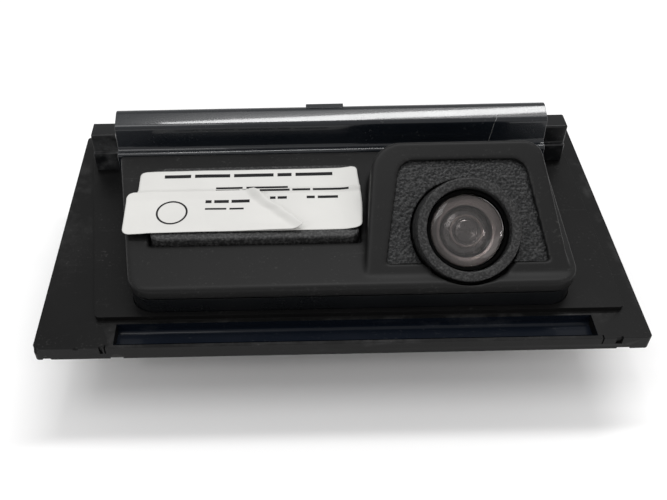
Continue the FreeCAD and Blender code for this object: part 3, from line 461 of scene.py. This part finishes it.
def divided(points, step):
    """Add points along a line so that no run is longer than step."""
    line = [points[0]]
    for a, b in zip(points, points[1:]):
        a, b = Vector(a), Vector(b)
        count = max(1, int((b - a).length / step))
        line += [tuple(a.lerp(b, (i + 1) / count)) for i in range(count)]
    return line


def on_camera(profile, name, material, slot, *stands_for, grain=0.0, segments=192):
    """Turn a profile and set it on the camera's axis, measured from the front of the ring."""
    bm = lathe(profile, segments, grain=grain)
    bmesh.ops.transform(bm, matrix=camera_place, verts=bm.verts)
    bmesh.ops.recalc_face_normals(bm, faces=bm.faces)
    return piece_from(bm, name, material, "housing", slot, *stands_for)


# A painted highlight makes the ring's grain crests paler.
ring_finish = moulding("ring_grain", (0.010, 0.010, 0.0105), (0.018, 0.018, 0.018), rough=0.42,
                       density=2400.0, depth=0.00016, edges=0.4, dusty=0.2, scratches=0.1, crest_highlight=0.45,
                       Specular_IOR_Level=0.22)
ring_bore, ring_front, ring_foot, ring_flange, ring_back = 0.01035, 0.01275, 0.0134, 0.0154, -0.013
ring_line = rounded([(ring_bore, ring_back), (ring_bore, 0.0), (ring_front, 0.0), (ring_foot, -0.0115),
                     (ring_flange, -0.0115), (ring_flange, ring_back), (ring_bore, ring_back)], 0.0006)
on_camera(divided(ring_line, 0.00022), "camera_bezel_ring", ring_finish, "grained_shell", "camera_ring",
          grain=0.00003, segments=420)

# Glass: a curved front window on a turned funnel, with the domed inner lens and its retaining ring.
# The funnel is a dull brownish metal; both glasses have a faint warm coating.
window = bpy.data.materials.new("front_window")
window.use_nodes = True
tree = window.node_tree
shader = tree.nodes["Principled BSDF"]
shader.inputs["Base Color"].default_value = (0.97, 0.93, 0.92, 1)
shader.inputs["Roughness"].default_value = 0.02
shader.inputs["IOR"].default_value = 1.45
shader.inputs["Transmission Weight"].default_value = 1.0
smears = add(tree, "TexNoise", Scale=300.0, Detail=4.0)
place = add(tree, "TexCoord")
tree.links.new(place.outputs["Object"], smears.inputs["Vector"])
tree.links.new(math_node(tree, "MULTIPLY", smears.outputs["Fac"], 0.12), shader.inputs["Roughness"])


def dome(radius, rise, base, count):
    """Half section of a shallow dome, from its rim to its middle."""
    turns = [math.pi / 2 * i / count for i in range(count + 1)]
    return [(radius * math.cos(t), base + rise * math.sin(t)) for t in turns]


lens_line = dome(0.0089, 0.0011, -0.0026, 26)[:-1] + [(0.00002, -0.0015)]
window_back = [(0.00002, -0.0033), (0.0086, -0.0033), (0.0089, -0.0030)]
on_camera(window_back + lens_line, "front_window", window, "lens_glass", "front_glass")


def metal(name, colour, rough, brushed=900.0):
    """Plated or turned metal with fine tool lines and uneven brightness."""
    material = bpy.data.materials.new(name)
    material.use_nodes = True
    tree = material.node_tree
    shader = tree.nodes["Principled BSDF"]
    shader.inputs["Metallic"].default_value = 1.0
    place = add(tree, "TexCoord")
    lines = add(tree, "TexNoise", Scale=brushed, Detail=3.0)
    tone = add(tree, "Mix", {"data_type": "RGBA"})
    tone.inputs[6].default_value = (*(c * 0.75 for c in colour), 1)
    tone.inputs[7].default_value = (*colour, 1)
    bump = add(tree, "Bump", Strength=0.3, Distance=0.00001)
    tree.links.new(place.outputs["Object"], lines.inputs["Vector"])
    tree.links.new(lines.outputs["Fac"], tone.inputs["Factor"])
    tree.links.new(lines.outputs["Fac"], bump.inputs["Height"])
    tree.links.new(tone.outputs[2], shader.inputs["Base Color"])
    uneven = math_node(tree, "MULTIPLY", lines.outputs["Fac"], 0.2)
    tree.links.new(math_node(tree, "ADD", uneven, rough - 0.1), shader.inputs["Roughness"])
    tree.links.new(bump.outputs["Normal"], shader.inputs["Normal"])
    return material


def finish_nodes(material, *names):
    """Give a finish to CAD nodes that keep their own shape."""
    for name in names:
        data = nodes[name].data
        data.materials.clear()
        data.materials.append(material)
        for polygon in data.polygons:
            polygon.material_index = 0


funnel_finish = metal("funnel_metal", (0.155, 0.139, 0.134), rough=0.36, brushed=500.0)
funnel = rounded([(0.0089, -0.0035), (0.0087, -0.0035), (0.0070, -0.0048), (0.0063, -0.0050),
                  (0.0060, -0.0067), (0.0092, -0.0067)], 0.0003)
on_camera(funnel, "lens_funnel", funnel_finish, "cone_metal", "lens_cone")
inner_finish = moulding("inner_glass", (0.014, 0.0125, 0.0122), (0.024, 0.0215, 0.021), rough=0.14,
                        density=900.0, depth=0.000001, edges=0.0, dusty=0.1, scratches=0.0, Coat_Weight=0.3,
                        Coat_Roughness=0.03)
inner_line = dome(0.0061, 0.0023, -0.0066, 24)[:-3]
inner_line += rounded([(0.0026, -0.0044), (0.0024, -0.0049), (0.00002, -0.0047)], 0.0004)
on_camera(inner_line, "inner_dome", inner_finish, "lens_glass", "inner_lens")
retainer_middle, retainer_depth, retainer_wire = 0.0038, -0.00478, 0.00035
retainer_turns = [2 * math.pi * i / 16 for i in range(17)]
retainer = [(retainer_middle + retainer_wire * math.cos(t),
             retainer_depth + retainer_wire * math.sin(t)) for t in retainer_turns]
on_camera(retainer, "lens_retainer", funnel_finish, "cone_metal", "lens_cone")
on_camera(dome(0.0030, 0.0009, -0.0047, 16)[:-1] + [(0.00002, -0.0038)], "rear_dome", inner_finish,
          "lens_glass", "rear_lens")
blackened = moulding("blackened", (0.001, 0.001, 0.001), (0.002, 0.002, 0.002), rough=0.6, density=2000.0,
                     depth=0.00001, edges=0.0, dusty=0.0, scratches=0.0, Specular_IOR_Level=0.03)
finish_nodes(blackened, "lens_barrel", "aperture_stop")

# Release pad: grained rubber with rounded arrises, moulded over the carrier below it.
# It stands proud of the bezel and is free to press in.
# A painted highlight makes the pad's grain crests paler.
pad_finish = moulding("pad_grain", (0.008, 0.008, 0.0085), (0.014, 0.014, 0.014), rough=0.5, density=1900.0,
                      depth=0.00018, edges=0.3, dusty=0.3, scratches=0.1, crest_highlight=0.5, Specular_IOR_Level=0.35)
pad = piece_from(cad_shape("release_pad"), "pad_top", pad_finish, "pad", "pad_rubber", "release_pad")
soften(pad, 0.0004)

# Two paper labels stuck on the pad, one over the other, with lifted and curled edges.
# Their print is replaced by plain bars and a ring.
paper = bpy.data.materials.new("label_paper")
paper.use_nodes = True
tree = paper.node_tree
shader = tree.nodes["Principled BSDF"]
place = add(tree, "TexCoord")
fibre = add(tree, "TexNoise", Scale=1800.0, Detail=5.0)
stain = add(tree, "TexNoise", Scale=70.0, Detail=4.0)
tint = add(tree, "Mix", {"data_type": "RGBA"})
tint.inputs[6].default_value = (0.66, 0.655, 0.63, 1)
tint.inputs[7].default_value = (0.56, 0.556, 0.54, 1)
bump = add(tree, "Bump", Strength=0.35, Distance=0.00003)
for texture in (fibre, stain):
    tree.links.new(place.outputs["Object"], texture.inputs["Vector"])
tree.links.new(stain.outputs["Fac"], tint.inputs["Factor"])
tree.links.new(tint.outputs[2], shader.inputs["Base Color"])
tree.links.new(fibre.outputs["Fac"], bump.inputs["Height"])
tree.links.new(bump.outputs["Normal"], shader.inputs["Normal"])
shader.inputs["Roughness"].default_value = 0.55
ink = moulding("label_ink", (0.006, 0.006, 0.007), (0.014, 0.014, 0.015), rough=0.6, density=2500.0,
               depth=0.000004, edges=0.0, dusty=0.1, scratches=0.0, Specular_IOR_Level=0.15)

label_low, label_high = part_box("lower_label")
upper_low, upper_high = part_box("upper_label")
thick = 0.00015
rise = (label_high[2] - label_low[2] - thick) / (label_high[1] - label_low[1])


def pad_top(y):
    """Height of the pad's sloping top."""
    return label_low[2] + rise * (y - label_low[1])


def smooth(value):
    """Ease from 0 to 1, held at both ends."""
    value = max(0.0, min(1.0, value))
    return value * value * (3 - 2 * value)


under_left, under_right = upper_low[0] - 0.0045, label_high[0]
under_front, under_back = label_low[1] + 0.0023, upper_high[1] - 0.0018
over_left, over_right = label_low[0] - 0.0008, -0.0083
over_front, over_back = label_low[1] + 0.0019, label_low[1] + 0.0154


def under_height(x, y):
    """The under label lies flat but for a crease along its middle and lifted right-hand corners."""
    crease = math.exp(-(((y - (over_back + 0.0008)) / 0.0007) ** 2)) * 0.0006
    from_middle = abs((y - under_front) / (under_back - under_front) - 0.5)
    corner = smooth((x - 0.001) / 0.006) * (0.0004 + 0.0007 * from_middle)
    off_pad = smooth((upper_low[0] - x) / 0.003) * -0.0001
    ripple = 0.00012 * noise.noise(Vector((x * 90, y * 60, 3.0)))
    return pad_top(y) + 0.00006 + crease + corner + off_pad + ripple + 0.00012


def over_edge(y):
    """The over label's torn right-hand edge runs slantwise and wanders a little."""
    t = (y - over_front) / (over_back - over_front)
    return over_right - 0.0124 * (0.6 * t + 0.4 * smooth(t)) + 0.0004 * noise.noise(Vector((0, y * 500, 0)))


def over_height(x, y):
    """The over label follows the under one, rolls up along its torn edge and droops off the pad."""
    roll = smooth(1 - (over_edge(y) - x) / 0.0032) * 0.0014
    lifted = 0.0005 * smooth(1 - (y - over_front) / 0.003) * smooth((x + 0.03) / 0.02)
    droop = -0.0002 * smooth((upper_low[0] - x) / 0.0064)
    ripple = 0.00018 * noise.noise(Vector((x * 70, y * 80, 9.0)))
    lifted += 0.0007 * smooth(1 - (over_back - y) / 0.0030)
    return under_height(max(x, under_left), y) + 0.00022 + roll + lifted + droop + ripple + 0.00018


def sheet_of(name, left, right, front, back, corner, height_at, columns, rows_count, node):
    """A thin sheet with rounded corners; right is a function of y."""
    bm = bmesh.new()
    grid = []
    for j in range(rows_count + 1):
        y = front + (back - front) * j / rows_count
        from_end = min(y - front, back - y)
        inset = corner - math.sqrt(max(0.0,
                                       corner**2 - (corner - from_end) ** 2)) if from_end < corner else 0.0
        low, high = left + inset, right(y) - inset
        row = []
        for i in range(columns + 1):
            x = low + (high - low) * i / columns
            row.append(bm.verts.new((x, y, height_at(x, y))))
        grid.append(row)
    for a, b in zip(grid, grid[1:]):
        for i in range(columns):
            bm.faces.new((a[i], a[i + 1], b[i + 1], b[i]))
    piece = piece_from(bm, name, paper, "pad", "label_paper", node)
    solid = piece.modifiers.new("thickness", "SOLIDIFY")
    solid.thickness = 0.0001
    solid.offset = -1
    return piece


sheet_of("under_label", under_left, lambda y: under_right - 0.0003 * math.sin(y * 260), under_front,
         under_back,
         corner=0.0016, height_at=under_height, columns=110, rows_count=60, node="upper_label")
sheet_of("over_label", over_left, over_edge, over_front, over_back,
         corner=0.0018, height_at=over_height, columns=110, rows_count=48, node="lower_label")
ink_lift, ink_step = 0.00003, 0.0006


def printed(marks, height_at):
    """Bars of ink, (left, right, front, back) each, lying on a label."""
    bm = bmesh.new()
    for low_x, high_x, low_y, high_y in marks:
        count = max(2, int((high_x - low_x) / ink_step))
        rows = []
        for i in range(count + 1):
            x = low_x + (high_x - low_x) * i / count
            across = (low_y, (low_y + high_y) / 2, high_y)
            rows.append([bm.verts.new((x, y, height_at(x, y) + ink_lift)) for y in across])
        for a, b in zip(rows, rows[1:]):
            for i in range(2):
                bm.faces.new((a[i], b[i], b[i + 1], a[i + 1]))
    return bm


def bars(left, right, y, tall, words):
    """A line of blank words: bars whose lengths come from words, spread from left to right."""
    total = sum(words) + 0.45 * (len(words) - 1)
    unit = (right - left) / total
    marks, x = [], left
    for word in words:
        marks.append((x, x + word * unit, y, y + tall))
        x += (word + 0.45) * unit
    return marks


under_marks = bars(-0.0455, -0.0005, 0.0037, 0.0012, (3, 4, 4.5, 1.6, 4.2))
under_marks += bars(-0.0315, -0.0125, -0.0010, 0.0010, (3.2, 5))
under_marks += bars(-0.0315, 0.0035, -0.0021, 0.0005, (4, 2.5, 5, 3, 6))
under_marks += bars(-0.0172, -0.0128, -0.0046, 0.0009, (1.2, 2)) + bars(-0.0076, 0.0006, -0.0046, 0.0009,
                                                                        (1.2, 3))
under_print = printed(under_marks, under_height)
piece_from(under_print, "under_label_print", ink, "pad", "label_paper", "upper_label")
over_marks = bars(-0.0340, -0.0225, over_back - 0.0036, 0.0010, (1, 2.4, 3))
over_marks += bars(-0.0340, -0.0240, over_back - 0.0060, 0.0006, (3, 2))
over_print = printed(over_marks, over_height)
centre = Vector((-0.0425, (over_front + over_back) / 2))
ring_in, ring_out, ring_sides = 0.0036, 0.0041, 72
turns = [2 * math.pi * i / ring_sides for i in range(ring_sides)]
loops = []
for radius in (ring_in, ring_out):
    spots = [(centre.x + radius * math.cos(t), centre.y + radius * math.sin(t)) for t in turns]
    loops.append([over_print.verts.new((x, y, over_height(x, y) + ink_lift)) for x, y in spots])
for i in range(ring_sides):
    j = (i + 1) % ring_sides
    over_print.faces.new((loops[0][i], loops[0][j], loops[1][j], loops[1][i]))
piece_from(over_print, "over_label_print", ink, "pad", "label_paper", "lower_label")

# Ridge mark: one curl of plastic raised where the polished bar has been knocked near its right end.
# It is a closed sliver, sunk a little into the bar.
mark_finish = moulding("raised_mark", (0.2, 0.2, 0.2), (0.34, 0.34, 0.335), rough=0.6, density=2600.0,
                       depth=0.00001, edges=0.0, dusty=0.2, scratches=0.0)
bpy.context.view_layer.update()
mark = bmesh.new()
mark_from, mark_to = Vector((0.0438, 0.0172, 0.05)), Vector((0.0452, 0.0196, 0.05))
mark_half, mark_rise, mark_bow = 0.00013, 0.00006, 0.0007
rows = []
for i in range(9):
    t = i / 8
    start = mark_from.lerp(mark_to, t) + Vector((mark_bow * math.sin(math.pi * t), 0, 0))
    _, spot, facing, _ = ridge.ray_cast(start, Vector((0, 0, -1)))
    wide = mark_half * (0.25 + 0.75 * math.sin(math.pi * t))
    sunk = spot - facing * mark_rise
    corners = (sunk + Vector((-wide, 0, 0)), sunk + Vector((wide, 0, 0)), spot + facing * mark_rise)
    rows.append([mark.verts.new(corner) for corner in corners])
for a, b in zip(rows, rows[1:]):
    for k in range(3):
        mark.faces.new((a[k], a[(k + 1) % 3], b[(k + 1) % 3], b[k]))
mark.faces.new(rows[0])
mark.faces.new(rows[-1][::-1])
piece_from(mark, "ridge_mark", mark_finish, "housing", "gloss_shell", "grip_ridge")

# Pad springs: two coils of steel wire that stand on the switch board and push the pad carrier up.
spring_wire = metal("spring_wire", (0.5, 0.5, 0.5), rough=0.25)
spring_low, spring_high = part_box("pad_springs")
coil_out = (spring_high[1] - spring_low[1]) / 2
wire_radius, turns, per_turn, wire_sides, pad_travel = 0.00025, 5, 28, 10, 0.001
spring_tall = spring_high[2] - spring_low[2]
round_wire = [2 * math.pi * k / wire_sides for k in range(wire_sides)]
for side, x in (("left", spring_low[0] + coil_out), ("right", spring_high[0] - coil_out)):
    y = (spring_low[1] + spring_high[1]) / 2
    coil = bmesh.new()
    rows = []
    for i in range(turns * per_turn + 1):
        t = i / (turns * per_turn)
        out = Vector((math.cos(2 * math.pi * turns * t), math.sin(2 * math.pi * turns * t), 0))
        height = spring_low[2] + wire_radius + t * (spring_tall - 2 * wire_radius)
        middle = Vector((x, y, height)) + out * (coil_out - wire_radius)
        spots = [middle + wire_radius * (out * math.cos(a) + Vector((0, 0, math.sin(a)))) for a in round_wire]
        rows.append([coil.verts.new(spot) for spot in spots])
    for a, b in zip(rows, rows[1:]):
        for k in range(wire_sides):
            j = (k + 1) % wire_sides
            coil.faces.new((a[k], a[j], b[j], b[k]))
    coil.faces.new(rows[0])
    coil.faces.new(rows[-1][::-1])
    spring = piece_from(coil, "pad_spring_" + side, spring_wire, "housing", "spring_steel", "pad_springs")
    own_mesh(spring)

# Pieces behind the plate and inside the unit: carrier, switch, boards, screws, seal, socket and camera body.
# They keep the shape that model.glb gives them, and each gets the finish of its own stuff.
inner = moulding("inner_moulding", (0.045, 0.045, 0.048), (0.06, 0.06, 0.064), rough=0.45, density=1800.0,
                 depth=0.00001, edges=0.2, dusty=0.1, scratches=0.1)
finish_nodes(inner, "pad_carrier", "switch_case", "switch_tray", "camera_cradle")
finish_nodes(satin, "rear_cover")
foam = moulding("foam", (0.012, 0.012, 0.012), (0.03, 0.03, 0.03), rough=0.9, density=1300.0, depth=0.00025,
                edges=0.2, dusty=0.3, scratches=0.0)
finish_nodes(foam, "perimeter_seal")
finish_nodes(metal("zinc", (0.62, 0.62, 0.59), rough=0.32), "fixing_studs", "housing_screws", "cover_screws",
             "ridge_screws")
connector = moulding("connector", (0.014, 0.014, 0.015), (0.02, 0.02, 0.021), rough=0.35, density=2200.0,
                     depth=0.00001, edges=0.3, dusty=0.2, scratches=0.2)
finish_nodes(connector, "socket_shell")
finish_nodes(metal("contact", (0.72, 0.55, 0.27), rough=0.25), "socket_pins")
plunger_red = moulding("plunger_red", (0.45, 0.08, 0.05), (0.55, 0.12, 0.07), rough=0.4, density=2000.0,
                       depth=0.00001)
finish_nodes(plunger_red, "switch_plunger")
solder_resist = moulding("solder_resist", (0.01, 0.11, 0.045), (0.015, 0.15, 0.06), rough=0.28,
                         density=900.0, depth=0.00001, edges=0.2, dusty=0.2, scratches=0.0)
finish_nodes(solder_resist, "switch_board", "camera_board")
chip_black = moulding("chip_black", (0.01, 0.01, 0.013), (0.02, 0.02, 0.024), rough=0.3, density=2500.0,
                      depth=0.00001)
finish_nodes(chip_black, "image_sensor")
finish_nodes(metal("die_cast", (0.3, 0.3, 0.31), rough=0.5, brushed=1600.0), "camera_case", "camera_cap")
outlet_rubber = moulding("outlet_rubber", (0.016, 0.016, 0.016), (0.026, 0.026, 0.026), rough=0.65,
                         density=1500.0, depth=0.00002)
finish_nodes(outlet_rubber, "camera_outlet")

# Studio: a plain pale floor, a large soft source behind and above, a fill from the front left.
# Two small lights give the glass its glints, and the camera looks down at 45 degrees over the channel.
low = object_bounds()[0]
floor_mesh = bpy.data.meshes.new("studio_floor")
reach = 3.0
floor_z = low[2] - 0.0002
floor_corners = [(x * reach, y * reach, floor_z) for x, y in ((-1, -1), (1, -1), (1, 1), (-1, 1))]
floor_mesh.from_pydata(floor_corners, [], [(0, 1, 2, 3)])
floor = bpy.data.objects.new("studio_floor", floor_mesh)
bpy.context.scene.collection.objects.link(floor)
floor_finish = bpy.data.materials.new("pale_floor")
floor_finish.use_nodes = True
floor_finish.node_tree.nodes["Principled BSDF"].inputs["Base Color"].default_value = (0.95, 0.95, 0.95, 1)
floor_finish.node_tree.nodes["Principled BSDF"].inputs["Roughness"].default_value = 0.9
floor_mesh.materials.append(floor_finish)

world = bpy.data.worlds.new("studio")
world.use_nodes = True
world.node_tree.nodes["Background"].inputs["Color"].default_value = (1.0, 1.0, 1.0, 1)
world.node_tree.nodes["Background"].inputs["Strength"].default_value = 0.6
bpy.context.scene.world = world
bpy.context.scene.view_settings.view_transform = "Standard"


def soft_light(name, place, target, size, power, shade=(1, 1, 1), turn=0.0):
    """An area light aimed at target, its long side turned about the upright axis."""
    light = bpy.data.lights.new(name, "AREA")
    light.shape = "RECTANGLE"
    light.size, light.size_y = size
    light.energy = power
    light.color = shade
    lamp = bpy.data.objects.new(name, light)
    back = (Vector(place) - Vector(target)).normalized()
    along = Vector((math.cos(math.radians(turn)), math.sin(math.radians(turn)), 0))
    along = (along - back * along.dot(back)).normalized()
    lamp.matrix_world = Matrix.Translation(place) @ Matrix((along, back.cross(along),
                                                            back)).transposed().to_4x4()
    bpy.context.scene.collection.objects.link(lamp)


soft_light("back_soft", place=(0.115, 0.263, 0.83), target=(0.0, 0.02, 0.01), size=(0.61, 0.065), power=3.4,
           turn=12)
soft_light("top_soft", place=(-0.3, -0.15, 0.9), target=(0, 0, 0), size=(0.4, 0.4), power=1.6)
soft_light("front_fill", place=(0.5, -0.6, 0.5), target=(0, 0, 0), size=(0.3, 0.3), power=0.4,
           shade=(1.0, 0.96, 0.94))
soft_light("left_glint", place=(-0.55, -0.35, 0.5), target=(0.03, -0.02, 0.02), size=(0.07, 0.07), power=0.4)
soft_light("right_glint", place=(0.62, -0.35, 0.45), target=(0.03, -0.02, 0.02), size=(0.07, 0.07),
           power=0.4, shade=(1.0, 0.93, 0.93))

pitch, roll = math.radians(45), math.radians(-1.15)
right, up = Vector((1, 0, 0)), Vector((0, math.sin(pitch), math.cos(pitch)))
ahead = Vector((0, math.cos(pitch), -math.sin(pitch)))
aside = right * math.cos(roll) + up * math.sin(roll)
above = up * math.cos(roll) - right * math.sin(roll)
view = Matrix((aside, above, -ahead)).transposed().to_4x4()
view.translation = Vector((-0.0112, -0.1649, 0.1592))
lens = bpy.data.cameras.new("main_view")
lens.lens = 43.99
lens.sensor_width = 36.0
lens.shift_x = 0.0592
lens.clip_start = 0.005
camera = bpy.data.objects.new("main_view", lens)
camera.matrix_world = view
bpy.context.scene.collection.objects.link(camera)
bpy.context.scene.camera = camera
